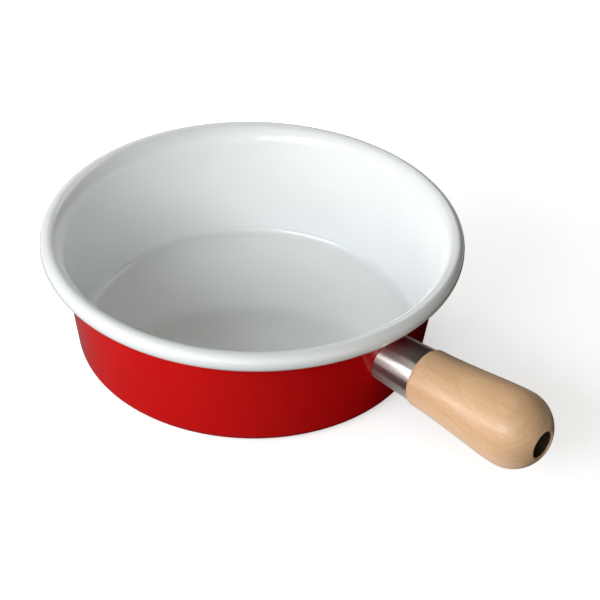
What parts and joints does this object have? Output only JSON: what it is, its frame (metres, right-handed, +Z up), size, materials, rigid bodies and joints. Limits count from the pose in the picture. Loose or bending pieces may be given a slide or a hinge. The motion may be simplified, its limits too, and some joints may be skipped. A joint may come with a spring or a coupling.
{
  "type": "saucepan",
  "caption": "Low round enamelled steel saucepan, white inside and red outside, with a short turned wooden handle on a polished ferrule.",
  "frame": {"origin": "centre of the underside of the pan's base", "axes": "+X from the pan's centre towards the end of the handle, +Z up out of the pan, +Y to the left when looking along the handle outwards"},
  "size_m": [0.2631, 0.192, 0.059],
  "materials": {
    "sheet_steel": "fired dark sheet steel",
    "white_enamel": "glossy white vitreous enamel",
    "red_enamel": "glossy red vitreous enamel",
    "bracket_steel": "pressed sheet steel",
    "fastener_steel": "bright zinc plate",
    "polished_ferrule": "lathe-polished stainless steel",
    "beech": "satin-lacquered turned beech"
  },
  "bodies": {
    "root": {"pan_shell": "sheet_steel", "white_enamel": "white_enamel", "red_enamel": "red_enamel", "handle_bracket": "bracket_steel", "weld_nut": "fastener_steel", "ferrule": "polished_ferrule", "wood_handle": "beech", "tie_screw": "fastener_steel", "plain_washer": "fastener_steel", "spring_washer": "fastener_steel"}
  },
  "joints": []
}
